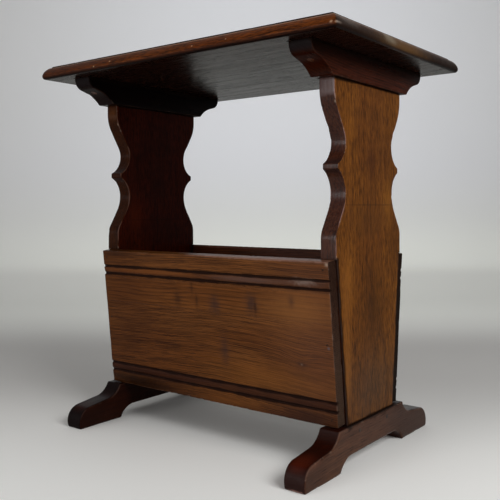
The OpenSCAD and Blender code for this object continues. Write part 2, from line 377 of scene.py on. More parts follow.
bent = vector_sums(t, "ADD", given["Place"], vector_sums(t, "MULTIPLY", drift, (0, 2, 2)))
bent = vector_sums(t, "ADD", bent, vector_sums(t, "MULTIPLY", ripple, (0, 1, 1)))
along, aside, up = put(t, "SeparateXYZ", {0: bent}).outputs
radius = sums(t, "SQRT", plus(t, times(t, aside, aside), times(t, up, up)))
phase = sums(t, "DIVIDE", radius, given["Ring width"])
within = sums(t, "FRACT", phase)
year = put(t, "TexWhiteNoise", {"W": sums(t, "FLOOR", phase)}, noise_dimensions="1D").outputs[0]
early = times(t, ramp(t, within, 0.0, 0.12), ramp(t, within, 0.1, 0.75, 1.0, 0.0))
early = times(t, early, times_plus(t, year, 0.7, 0.45))
fibre = speckle(t, bent, given["Fibres"], 2.0, 0.6)
streak = speckle(t, bent, (5, 110, 110), 3.0, 0.6)
pore = ramp(t, speckle(t, bent, (48, 900, 900), 1.0), 0.55, 0.66)
pore = times(t, pore, times_plus(t, early, 0.75, 0.25))
ray_place = put(t, "CombineXYZ", {0: along, 1: sums(t, "ARCTAN2", up, aside), 2: radius}).outputs[0]
ray = times(t, ramp(t, speckle(t, ray_place, (34, 75, 40), 1.0), 0.6, 0.72), given["Rays"])
shade = times_plus(t, plus(t, fibre, -0.5), given["Fibre"], times(t, early, given["Ring"]))
shade = times_plus(t, plus(t, streak, -0.5), given["Streak"], shade)
shade = plus(t, shade, 0.3, clamp=True)
patch = ramp(t, speckle(t, given["Place"], (3.2, 16, 16), 2.0, 0.6), 0.4, 0.64)
colour = blended(t, shade, blended(t, patch, given["Light"], given["Golden"]), given["Dark"])
colour = blended(t, times(t, pore, 0.85), colour, given["Pore"])
colour = blended(t, ray, colour, given["Dark"])
facing = put(t, "NewGeometry").outputs["Normal"]
end_on = sums(t, "ABSOLUTE", vector_sums(t, "DOT_PRODUCT", facing, given["Along"], out=1))
end_on = ramp(t, end_on, 0.55, 0.95)
end_tone = blended(t, times_plus(t, shade, 0.7, 0.1), given["End grain"], given["Pore"])
colour = blended(t, times(t, end_on, 0.9), colour, end_tone)
t.links.new(colour, made["Color"])
dull = times_plus(t, pore, 0.5, times(t, end_on, 0.5))
t.links.new(times_plus(t, plus(t, streak, -0.5), 0.8, dull), made["Gloss loss"])
rise = times_plus(t, pore, -0.00009, times(t, fibre, 0.00003))
rise = times_plus(t, early, -0.00004, rise)
rise = times_plus(t, speckle(t, given["Place"], (7, 24, 24), 1.0), 0.0006, rise)
t.links.new(rise, made["Height"])

# Wear of a handled piece: the stain is rubbed thin along the arrises, with small chips where the wood shows
# pale, and old wax and dust darken the corners at the joints. On some pieces the pale rub is turned up to
# stand for a painted highlight. The darkening near the joints and along the trough's grooves is partly
# painted shade.
handling, given, made = new_effect(
    "handling",
    {
        "Color": ("c", (0.1, 0.05, 0.02, 1)), "Place": ("v", None), "Arris": ("f", 1.0), "Joint": ("f", 1.0),
        "Rub width": ("f", 0.003), "Rub and sheen": ("f", 0.5), "Rubbed and sheen tone": ("c", hue(132, 100, 78)),
        "Chips": ("f", 0.5), "Chipped": ("c", hue(196, 178, 160)), "Grime and shade": ("f", 0.7),
        "Grime reach": ("f", 0.006), "Grimy and shaded": ("c", hue(17, 7, 3)),
    },
    {"Color": "c", "Worn and sheen": "f", "Grimy and shaded": "f"},
)
t = handling
slow = speckle(t, given["Place"], (38, 38, 38))
# The pale rub along the arrises is worn stain, and on some pieces partly a painted highlight.
reach = times(t, given["Rub width"], ramp(t, slow, 0.3, 0.75, 0.25, 1.5))
rub = ramp(t, sums(t, "DIVIDE", given["Arris"], reach), 0.1, 1.0, 1.0, 0.0)
rub = times(t, times(t, rub, ramp(t, slow, 0.36, 0.6, 0.25, 1.0)), given["Rub and sheen"])
chip = ramp(t, speckle(t, given["Place"], (150, 150, 150)), 0.6, 0.66)
chip = times(t, chip, ramp(t, given["Arris"], 0.0006, 0.0016, 1.0, 0.0))
chip = times(t, chip, given["Chips"])
# The darkening near the joints and grooves is old wax and dust, and partly painted shade.
reach = times(t, given["Grime reach"], ramp(t, slow, 0.3, 0.7, 0.6, 1.4))
dirt_and_shade = ramp(t, sums(t, "DIVIDE", given["Joint"], reach), 0.3, 1.0, 1.0, 0.0)
dirt_and_shade = times(t, dirt_and_shade, given["Grime and shade"])
colour = blended(t, rub, given["Color"], given["Rubbed and sheen tone"])
colour = blended(t, chip, colour, given["Chipped"])
t.links.new(blended(t, dirt_and_shade, colour, given["Grimy and shaded"]), made["Color"])
t.links.new(sums(t, "MAXIMUM", rub, chip), made["Worn and sheen"])
t.links.new(dirt_and_shade, made["Grimy and shaded"])

# The faces that look one way, or both ways along an axis, are tinted. Most uses paint shade: faces turned in
# towards the table, faces turned down, and the tops of the feet are darkened. Other uses tint end faces and
# edges, and turn the cleats' ends grey-purple, partly a painted sheen.
tint_by_facing, given, made = new_effect(
    "tint by facing",
    {
        "Color": ("c", (0.1, 0.05, 0.02, 1)), "Way": ("v", (0, 0, 1)), "Both ways": ("f", 0.0),
        "Tint": ("c", (0.5, 0.4, 0.4, 1)),
    },
    {"Color": "c"},
)
t = tint_by_facing
facing = vector_sums(t, "DOT_PRODUCT", put(t, "NewGeometry").outputs["Normal"], given["Way"], out=1)
turned_back = times(t, sums(t, "MINIMUM", facing, 0.0), -1.0)
facing = times_plus(t, turned_back, given["Both ways"], sums(t, "MAXIMUM", facing, 0.0))
tinted = blended(t, ramp(t, facing, 0.4, 0.85), given["Color"], given["Tint"], "MULTIPLY")
t.links.new(tinted, made["Color"])


def spot_share(t, given):
    """How far a point is within a round or long spot: 1 in its middle, 0 well outside."""
    gap = vector_sums(t, "DIVIDE", vector_sums(t, "SUBTRACT", given["Place"], given["Middle"]), given["Size"])
    uneven = stray(t, given["Place"], (130, 130, 130), 3.0, 0.6, given["Ragged"])
    gap = vector_sums(t, "ADD", gap, uneven)
    far = sums(t, "POWER", vector_sums(t, "DOT_PRODUCT", gap, gap, out=1), given["Firm"])
    return sums(t, "EXPONENT", times(t, far, -1.0))


# A patch of another tone, such as a knot, a smudge, a faded spot or a second strip of wood, and in some
# places a painted shadow or highlight. It has a soft edge, or a sharp one where it is firm.
spot_takes = {
    "Place": ("v", None), "Middle": ("v", (0, 0, 0)), "Size": ("v", (0.01, 0.01, 0.01)),
    "Ragged": ("f", 0.4), "Firm": ("f", 1.0),
}
patch_of, given, made = new_effect(
    "patch",
    {
        **spot_takes, "Color": ("c", (0.1, 0.05, 0.02, 1)), "Tone": ("c", (0.05, 0.02, 0.01, 1)),
        "Share": ("f", 0.7),
    },
    {"Color": "c"},
)
t = patch_of
share = times(t, spot_share(t, given), given["Share"])
t.links.new(blended(t, share, given["Color"], given["Tone"]), made["Color"])

# Grain that runs round a knot, or starts anew in a second strip, is the same grain read
# from a shifted place.
bend_of, given, made = new_effect("grain bend", {**spot_takes, "Shift": ("v", (0, 0, 0.004))}, {"Place": "v"})
t = bend_of
shift = scaled(t, given["Shift"], spot_share(t, given))
t.links.new(vector_sums(t, "ADD", given["Place"], shift), made["Place"])


def new_material(name):
    material = bpy.data.materials.new(name)
    material.use_nodes = True
    t = material.node_tree
    return material, t, t.nodes["Principled BSDF"], put(t, "TexCoord").outputs["Object"]


def tones(light, dark, pore=(28, 13, 7), golden=(132, 84, 38), end=(40, 25, 18)):
    labels = ("Light", "Dark", "Pore", "Golden", "End grain")
    return {label: hue(*tone) for label, tone in zip(labels, (light, dark, pore, golden, end))}


def wear_of(
    width=0.003, rub=0.0, rubbed_and_sheen=(132, 100, 78), chips=0.0, grime_and_shade=0.0, reach=0.006, grimy_and_shaded=(17, 7, 3)
):
    labels = ("Rub width", "Rub and sheen", "Rubbed and sheen tone", "Chips", "Grime and shade", "Grime reach", "Grimy and shaded")
    return dict(zip(labels, (width, rub, hue(*rubbed_and_sheen), chips, grime_and_shade, reach, hue(*grimy_and_shaded))))


def stained_oak(
    name, along, heart, slant, gloss, shine, grain, bends=(), patches=(), facing_tints=(), wear=None
):
    """Stained and waxed oak. along is the axis of the grain, heart a point on the tree's heart,
    and slant how far the grain runs off the axis."""
    material, t, shader, place = new_material(name)
    shader.inputs["Specular IOR Level"].default_value = shine
    lying = place
    for bend in bends:
        values = dict(zip(("Middle", "Size", "Shift", "Ragged", "Firm"), bend), Place=lying)
        lying = put(t, "Group", values, node_tree=bend_of).outputs[0]
    lying = vector_sums(t, "SUBTRACT", lying, heart)
    axis, turn = {
        "X": ((1, 0, 0), (0, 0, 0)),
        "Y": ((0, 1, 0), (0, 0, radians(-90))),
        "Z": ((0, 0, 1), (0, radians(90), 0)),
    }[along]
    for turns in (turn, (0, slant, slant)):
        lying = put(t, "Mapping", {"Vector": lying, "Rotation": turns}).outputs[0]
    wood = put(t, "Group", {"Place": lying, "Along": axis, **grain}, node_tree=oak_grain)
    colour = wood.outputs["Color"]
    for middle, size, tone, share, ragged, firm in patches:
        colour = put(t, "Group", {
            "Color": colour, "Place": place, "Middle": middle, "Size": size, "Tone": hue(*tone),
            "Share": share, "Ragged": ragged, "Firm": firm,
        }, node_tree=patch_of).outputs[0]
    for way, both, tint in facing_tints:
        tint_inputs = {"Color": colour, "Way": way, "Both ways": both, "Tint": tint}
        colour = put(t, "Group", tint_inputs, node_tree=tint_by_facing).outputs[0]
    arris, joint = (put(t, "Attribute", attribute_name=label).outputs["Fac"] for label in ("arris", "joint"))
    handled = {"Color": colour, "Place": place, "Arris": arris, "Joint": joint, **(wear or wear_of())}
    worn = put(t, "Group", handled, node_tree=handling)
    t.links.new(worn.outputs["Color"], shader.inputs["Base Color"])
    matt = times_plus(t, wood.outputs["Gloss loss"], 0.35, gloss)
    matt = times_plus(t, worn.outputs["Worn and sheen"], 0.08, matt)
    matt = times_plus(t, worn.outputs["Grimy and shaded"], 0.3, matt, clamp=True)
    t.links.new(matt, shader.inputs["Roughness"])
    bump = put(t, "Bump", {"Strength": 0.8, "Distance": 1.0, "Height": wood.outputs["Height"]})
    t.links.new(bump.outputs[0], shader.inputs["Normal"])
    return material


def fixed(piece, nodes, slot, *materials):
    """Gives a piece its materials, hangs it under the root empty, and hides the nodes it stands for."""
    for material in materials:
        piece.data.materials.append(material)
    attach(piece, "root")
    if nodes:
        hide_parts(*nodes)
    return piece


toe_end = table_width / 2 - foot_inset
toe_start = -degrees(asin(toe_height / toe_radius))
toe = ogee_end(toe_end, toe_height, toe_radius, toe_slope, toe_flat, toe_hollow, foot_height, toe_start)
arch_drop = arch_radius - arch_height
arch_middle = (toe_end - pad_length - sqrt(arch_radius**2 - arch_drop**2), -arch_drop)
arch = arc(arch_middle, arch_radius, degrees(asin(arch_drop / arch_radius)), 90, 14)
foot_outline = both_halves(toe) + [(-a, b) for a, b in arch] + list(reversed(arch))
foot_outline = spaced(eased_corners(foot_outline, 0.0016), 0.003)
board_lean, board_width, board_thick = radians(6.2), 0.1952, 0.0163
seat_inset, board_gap = 0.0068, 0.0008
board_foot_y, board_z = toe[-1][0] - seat_inset, foot_height + board_gap


def on_board(up, deep):
    """The height and the distance from the middle of a point of a trough board's section."""
    return (
        board_foot_y + up * sin(board_lean) - deep * cos(board_lean),
        board_z + up * cos(board_lean) + deep * sin(board_lean),
    )


inner_foot, inner_head = on_board(0, board_thick), on_board(board_width, board_thick)
panel_thick = 0.0215
panel_foot_y = inner_foot[0] - (inner_foot[1] - foot_height) * tan(board_lean)
for side, x in legs:
    right = x > 0
    foot, arrises = worked("foot_" + side, foot_outline, foot_thick, 0.0017, across(x))
    hand_worn(foot, arrises, footprint(x, panel_thick / 2, panel_foot_y, foot_height), 0.0006)
    # The left foot gets darker copies of the right foot's tones and end-face tint: painted shade. The right
    # foot's stronger pale rub along its arrises is partly a painted highlight.
    light, dark, golden = (
        ((78, 47, 30), (46, 25, 15), (86, 52, 32)) if right else ((50, 26, 16), (30, 14, 8), (56, 30, 17))
    )
    patches = [
        ((x, 0.115, 0.02), (1, 0.08, 0.08), dark, 0.8, 0.4, 2.0),
        ((x, -0.16, 0.02), (1, 0.05, 0.06), dark, 0.5, 0.3, 2.0),
        # A pale reddish patch on the hump of the front toe is a painted highlight, strong on the right foot
        # and faint on the left.
        ((x - 0.001, -0.138, 0.027), (0.013, 0.020, 0.007), (168, 100, 74), 0.45 if right else 0.1, 0.3, 1.5),
    ]
    if right:
        patches.append(((x + 0.002, -0.156, 0.0012), (0.009, 0.004, 0.0013), (180, 168, 156), 0.7, 2.5, 2.0))
    wood = stained_oak(
        "foot oak " + side, "Y", (x + 0.012, 0.02, -0.035), radians(1.5), 0.34, 0.09 if right else 0.05,
        grain={
            **tones(light, dark, (28, 14, 8), golden, (36, 20, 15)), "Ring width": 0.0034, "Wander": 0.010,
            "Fibres": (40, 320, 320), "Fibre": 1.0, "Ring": 0.25, "Streak": 0.5, "Rays": 0.2,
        },
        patches=patches,
        # Faces turned up and faces turned in towards the table are darkened: painted shade. The end faces get
        # their own tint.
        facing_tints=[
            ((0, 0, 1), 0, (0.24, 0.10, 0.07, 1)),
            ((0, 1, 0), 1, (0.62, 0.36, 0.34, 1) if right else (0.18, 0.07, 0.04, 1)),
            ((-1 if right else 1, 0, 0), 0, (0.6, 0.4, 0.34, 1)),
        ],
        wear=wear_of(0.0018, 0.3 if right else 0.1, (112, 84, 70), 0.08, 0.9),
    )
    fixed(foot, ["foot_" + side], "oak_foot", wood)

# Each end panel is one wide oak plank, bandsawn to a waisted outline with a cusp on both
# edges. Its head is tenoned into the cleat, its foot into the sledge foot.
table_height, top_thick, cleat_height = 0.510, 0.019, 0.034
under_top = table_height - top_thick
panel_top = under_top - cleat_height
let_in, head_inset, cusp_inset, cusp_tip = 0.0025, 0.0805, 0.0073, 0.0066
upper_waist_inset, lower_waist_inset, ogee_share = 0.025, 0.0243, 0.83
shoulder_y, notch_z = inner_head[0] + let_in, inner_head[1] - let_in * tan(board_lean)


def up_panel(percent):
    """A height between the boards' upper edges and the panel's head."""
    return notch_z + (panel_top - notch_z) * percent / 100


head_y = table_width / 2 - head_inset
cusp_y, cusp_z = head_y - cusp_inset, up_panel(51.4)
upper_waist = (head_y - upper_waist_inset, up_panel(65.1))
lower_waist = (head_y - lower_waist_inset, up_panel(36.8))


def bow(inside, out):
    """The radius of an arc that goes this far inside and out."""
    return (inside**2 + out**2) / (2 * inside)


def wave(waist, full, share):
    """Ogee curve from a waist to a full width, a hollow and a swell with a short straight between."""
    inside, out = full[0] - waist[0], full[1] - waist[1]
    way = 1 if out > 0 else -1
    both = ogee_share * bow(inside, out)
    hollow = (waist[0] + both * (1 - share), waist[1])
    swell = (full[0] - both * share, full[1])
    gap = hypot(hollow[0] - swell[0], hollow[1] - swell[1])
    turn = degrees(asin(both / gap) - atan2(hollow[0] - swell[0], abs(out)))
    return arc(hollow, both * (1 - share), 180, 180 - way * turn) + arc(swell, both * share, -way * turn, 0)


def to_cusp(waist, out):
    """The plain arc from a waist out to the cusp."""
    inside = cusp_y - waist[0]
    radius = bow(inside, out)
    turn = degrees(acos(1 - inside / radius)) * (1 if out > 0 else -1)
    return arc((waist[0] + radius, waist[1]), radius, 180, 180 - turn)


panel_edge = [(head_y, panel_top)]
panel_edge += reversed(wave(upper_waist, (head_y, up_panel(94.2)), 0.64))
panel_edge += to_cusp(upper_waist, cusp_z + cusp_tip / 2 - upper_waist[1])
panel_edge += reversed(to_cusp(lower_waist, cusp_z - cusp_tip / 2 - lower_waist[1]))
panel_edge += wave(lower_waist, (shoulder_y, up_panel(10.8)), 0.37)
panel_edge += [(shoulder_y, notch_z), inner_head, inner_foot, (panel_foot_y, foot_height)]


touch = 0.001


def panel_ease(p):
    hidden = p.y > panel_top - touch or p.y < notch_z + touch
    return 0.0004 if hidden else 0.0013


panel_outline = spaced(eased_corners(both_halves(panel_edge), panel_ease), 0.003)
panel_spots = [
    (0.004, 0.362, 0.014, 0.018, (50, 22, 9), 0.6, 0.8),
    (0.0, 0.420, 0.06, 0.006, (70, 40, 14), 0.3),
    (0.048, 0.316, 0.012, 0.024, (128, 80, 28), 0.55, 0.8),
    (-0.005, 0.290, 0.05, 0.022, (70, 42, 18), 0.3, 0.2, 3.0),
    (0.0014, 0.302, 0.0010, 0.046, (40, 20, 7), 0.75, 0.1, 2.0),
    (-0.056, 0.222, 0.012, 0.034, (128, 78, 28), 0.6, 0.8),
    (0.007, 0.184, 0.028, 0.046, (46, 27, 10), 0.6, 0.8),
    (0.045, 0.378, 0.022, 0.040, (58, 28, 10), 0.4, 0.6),
    (0.066, 0.336, 0.010, 0.010, (40, 18, 8), 0.6, 0.5),
    (0.064, 0.262, 0.016, 0.040, (54, 29, 10), 0.45, 0.6),
    (0.0, 0.309, 0.070, 0.0011, (46, 23, 8), 0.4, 0.15, 2.0),
    (-0.056, 0.395, 0.012, 0.030, (116, 68, 20), 0.4, 0.8),
    (0.006, 0.084, 0.07, 0.046, (62, 52, 42), 0.5, 0.3),
    (-0.058, 0.105, 0.008, 0.030, (124, 78, 34), 0.55, 0.8),
    (-0.060, 0.160, 0.008, 0.046, (124, 76, 30), 0.5, 0.8),
]


def with_second(piece, taken):
    """Gives the piece's second material to the faces whose direction is taken."""
    for face in piece.data.polygons:
        face.material_index = 1 if taken(face.normal) else 0


for side, x in legs:
    right = x > 0
    panel, arrises = worked("end_panel_" + side, panel_outline, panel_thick, 0.0008, across(x))
    meets = long_edges(x, panel_thick / 2, panel_foot_y, foot_height)
    meets += long_edges(x, panel_thick / 2, head_y, panel_top)
    for f in (x - panel_thick / 2, x + panel_thick / 2):
        for e in (-1, 1):
            meets += line((f, e * inner_foot[0], inner_foot[1]), (f, e * inner_head[0], inner_head[1]))
            meets += line((f, e * shoulder_y, notch_z), (f, e * inner_head[0], inner_head[1]))
    hand_worn(panel, arrises, meets, 0.0004)
    turn, drop = (1, 0) if right else (-1, 0.021)

    def panel_spot(y, z, half_wide, half_high, tone, share, ragged=0.5, firm=1.0):
        """A patch on both faces of the panel, turned round and lower on the left one."""
        return ((x, turn * y, z - drop), (0.05, half_wide, half_high), tone, share, ragged, firm)

    wood = stained_oak(
        "panel oak " + side, "Z", (x - 0.075, 0.018, 0.2), radians(2.0), 0.34, 0.03,
        grain={
            **tones((100, 57, 19), (54, 27, 8), (50, 25, 7), (112, 66, 20), (50, 34, 24)),
            "Ring width": 0.0042, "Wander": 0.016, "Fibres": (85, 760, 760), "Fibre": 3.6, "Streak": 0.9,
            "Ring": 0.25, "Rays": 0.25,
        },
        patches=[panel_spot(*spot) for spot in panel_spots],
        # The faces turned in towards the table are darkened: painted shade.
        facing_tints=[((-1 if right else 1, 0, 0), 0, (0.31, 0.10, 0.04, 1))],
        wear=wear_of(0.0014, 0.3, (130, 96, 76), 0.1, 0.85, 0.0035),
    )
    # The left panel's edges get darker copies of the right's tones: painted shade.
    light, dark, golden = (
        ((58, 29, 20), (32, 14, 9), (68, 38, 26))
        if right
        else ((44, 20, 9), (26, 10, 4), (50, 25, 11))
    )
    edge_wood = stained_oak(
        "panel edge oak " + side, "Z", (x - 0.075, 0.018, 0.2), radians(2.0), 0.22,
        0.13 if right else 0.025,
        grain={
            **tones(light, dark, (20, 9, 7), golden, (44, 28, 26)), "Ring width": 0.0042, "Wander": 0.016,
            "Fibres": (140, 460, 460), "Fibre": 2.2, "Streak": 1.0, "Ring": 0.25, "Rays": 0.2,
        },
        patches=[
            ((x, -head_y, 0.448), (0.05, 0.012, 0.0125), (78, 60, 58), 0.75 if right else 0.0, 0.5, 7.0),
            ((x, -head_y, 0.444), (0.012, 0.012, 0.009), (92, 52, 18), 0.0 if right else 0.35, 0.5, 1.0),
            ((x + 0.0096, -head_y, 0.4285), (0.0014, 0.004, 0.0022), (150, 128, 108), 0.7, 0.6, 1.5),
        ],
        # The right edge's strong mauve rub along its arrises is partly a painted highlight.
        wear=wear_of(0.0016, 0.75 if right else 0.3, (136, 106, 104), 0.12, 0.85, 0.0035),
    )
    fixed(panel, ["end_panel_" + side], "oak_panel", wood, edge_wood)
    with_second(panel, lambda normal: abs(normal.x) < 0.5)

# Oak pegs pin the foot tenons. Their ends show as small rounds of end grain on the sides
# of the feet, driven flush and stained with the rest.
peg_radius, peg_drop, tenon_inset, peg_inset = 0.003, 0.009, 0.007, 0.016
peg_y, peg_z = panel_foot_y - tenon_inset - peg_inset, foot_height - peg_drop


def turned(name, profile, place, around=36):
    """A turned piece from (radius, distance along its axis), its first and last radius nothing."""
    turns = [2 * pi * k / around for k in range(around)]
    rings = [[(r * cos(a), r * sin(a), d) for a in turns] for r, d in profile]
    ends = [[r * around + k for k in range(around)] for r in (0, len(rings) - 1)]
    piece = new_piece(name, [place(*p) for ring in rings for p in ring], bands(len(rings), around) + ends)
    piece.data.shade_smooth()
    piece.data.set_sharp_from_angle(angle=radians(50))
    return piece


peg_profile = [(peg_radius * s, foot_thick / 2 + 0.0002 * (1 - s * s)) for s in (0.05, 0.4, 0.7, 0.88)]
peg_profile += [(peg_radius * 0.96, foot_thick / 2 - 0.0001), (peg_radius, foot_thick / 2 - 0.0004)]
peg_profile += [(r, -d) for r, d in reversed(peg_profile)]
peg_wood = stained_oak(
    "peg oak", "X", (0.01, 0.01, 0.03), 0, 0.42, 0.3,
    grain={**tones((44, 26, 18), (26, 14, 9), end=(34, 20, 15)), "Ring width": 0.0011, "Wander": 0.002},
)
for side, x in legs:
    for end, y in (("front", -peg_y), ("back", peg_y)):
        def peg_at(a, b, c):
            return Vector((x + c, y + a, peg_z + b))

        peg = turned("peg_%s_%s" % (side, end), peg_profile, peg_at)
        fixed(peg, [], "oak_foot", peg_wood)
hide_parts("foot_pegs")

# The trough's two sides are wide oak boards that lean outwards, nailed over the slanting
# edges of the end panels. A pair of round grooves runs along each near top and bottom.
board_end_inset, groove_radius, groove_depth = 0.003, 0.0021, 0.0018
board_length = 2 * (leg_x + panel_thick / 2 - board_end_inset)
grooves = [0.0184, 0.0292, board_width - 0.0332, board_width - 0.0224]
groove_turn = degrees(asin((groove_radius - groove_depth) / groove_radius))
section = [(0, 0)]
for up in grooves:
    section += arc((up, groove_depth - groove_radius), groove_radius, 180 - groove_turn, groove_turn, 12)
section += [(board_width, 0), (board_width, board_thick), (0, board_thick)]


def section_ease(p):
    if p.y > touch:
        return 0.0009 if p.y > board_thick - touch else 0
    if p.x > board_width - touch:
        return 0.0013
    bead = any(abs(p.x - (grooves[k] + grooves[k + 1]) / 2) < 0.004 for k in (0, 2))
    return 0.0015 if bead else 0.0008


section = spaced(eased_corners(section, section_ease), 0.005)
stations = [0.0012, 0.003, 0.006] + [0.006 + 0.004 * k for k in range(1, 47)]
nail_inset, nail_hole, nail_sunk = 0.0095, 0.0015, 0.0012
nail_ups = [nail_inset, board_width / 2, board_width - nail_inset]


def drilled(piece, holes):
    """Bores round holes in a piece. Each is given by its own axes, its radius and its two ends."""
    cutter = bpy.data.meshes.new("drill")
    drill = bmesh.new()
    for matrix, radius, start, stop in holes:
        bit = bmesh.ops.create_cone(
            drill, cap_ends=True, segments=28, radius1=radius, radius2=radius, depth=stop - start
        )
        middle = Matrix.Translation((0, 0, (start + stop) / 2))
        bmesh.ops.transform(drill, matrix=matrix @ middle, verts=bit["verts"])
    drill.to_mesh(cutter)
    drill.free()
    tool = new_object("drill", cutter)
    bore = piece.modifiers.new("bore", "BOOLEAN")
    bore.operation, bore.object, bore.solver = "DIFFERENCE", tool, "EXACT"
    graph = bpy.context.evaluated_depsgraph_get()
    cut = bpy.data.meshes.new_from_object(piece.evaluated_get(graph), depsgraph=graph)
    piece.modifiers.clear()
    piece.data = cut
    bpy.data.objects.remove(tool)


knots = [
    (0.0, 0.140, 10, 0.018, 0.19, 30.0),
    (0.030, 0.070, 0.15, 0.10, -0.012),
    (-0.046, 0.136, 0.014, 0.016, 0.006),
    (-0.013, 0.142, 0.012, 0.020, -0.006),
    (0.017, 0.132, 0.014, 0.014, 0.006),
    (0.080, 0.136, 0.014, 0.018, 0.007),
    (0.139, 0.141, 0.018, 0.018, -0.008),
    (0.147, 0.070, 0.020, 0.012, 0.005),
]
dark_knot, smoky, warm = (34, 17, 9), (48, 32, 28), (124, 76, 30)
board_spots = [
    (0.0, 0.140, 10, 0.018, (108, 62, 22), 0.22, 0.0, 30.0),
    (0.0, 0.1222, 10, 0.0008, (40, 20, 8), 0.25, 0.0, 2.0),
    # A darker left end is painted shade, and a greyer right end a painted sheen; on the back board they are
    # turned round.
    (-0.16, 0.14, 0.08, 0.10, (46, 18, 4), 0.45, 0.3),
    (0.17, 0.10, 0.06, 0.12, (96, 62, 46), 0.35, 0.3),
    # A pale line along the upper arris is a painted highlight.
    (0.10, 0.195, 0.11, 0.0016, (128, 96, 84), 0.7, 1.6, 2.0),
    (-0.17, 0.193, 0.03, 0.006, (30, 10, 2), 0.6),
    (0.09, 0.045, 0.09, 0.020, warm, 0.35),
    (0.145, 0.137, 0.045, 0.022, (134, 86, 42), 0.42),
    (-0.048, 0.134, 0.0060, 0.0100, dark_knot, 0.55, 0.9),
    (-0.021, 0.152, 0.0030, 0.0100, dark_knot, 0.5, 0.9),
    (-0.014, 0.135, 0.0026, 0.0090, dark_knot, 0.5, 0.9),
    (0.017, 0.132, 0.0085, 0.0105, smoky, 0.72, 0.9),
    (0.077, 0.138, 0.0085, 0.0115, smoky, 0.78, 0.9),
    (0.0830, 0.134, 0.0022, 0.0090, dark_knot, 0.65, 0.8),
    (0.138, 0.145, 0.0045, 0.0070, smoky, 0.55, 0.9),
    (0.029, 0.072, 0.0065, 0.018, smoky, 0.6),
    (0.147, 0.070, 0.0080, 0.0035, smoky, 0.6),
    (0.147, 0.070, 0.0014, 0.0012, (120, 100, 84), 0.45),
    # A darker band over the upper pair of grooves is partly the bead's own tone and partly painted shade in
    # the grooves.
    (0.0, 0.167, 10, 0.0062, (50, 24, 15), 0.52, 0.0, 6.0),
    (0.075, 0.168, 0.06, 0.0040, (88, 68, 62), 0.45, 0.8, 1.5),
    (-0.10, 0.169, 0.10, 0.0036, (114, 64, 24), 0.52, 0.8, 1.5),
    # The same over the lower pair of grooves: partly the bead's tone, partly painted shade in the grooves.
    (0.0, 0.024, 10, 0.0075, (40, 17, 11), 0.78, 0.0, 6.0),
    (0.150, 0.006, 0.055, 0.013, (38, 20, 17), 0.8),
    (-0.13, 0.006, 0.09, 0.014, (16, 5, 2), 0.92),
    (0.02, 0.007, 0.035, 0.010, (98, 56, 22), 0.45),
    (0.159, 0.170, 0.018, 0.0040, (150, 134, 126), 0.34, 2.2, 1.2),
    # A pale spot at the upper corner of the right end is a painted highlight.
    (0.190, 0.192, 0.0022, 0.0022, (166, 146, 130), 0.55, 0.8),
    (0.186, 0.094, 0.0018, 0.0018, (78, 78, 84), 0.6, 0.3, 2.0),
]
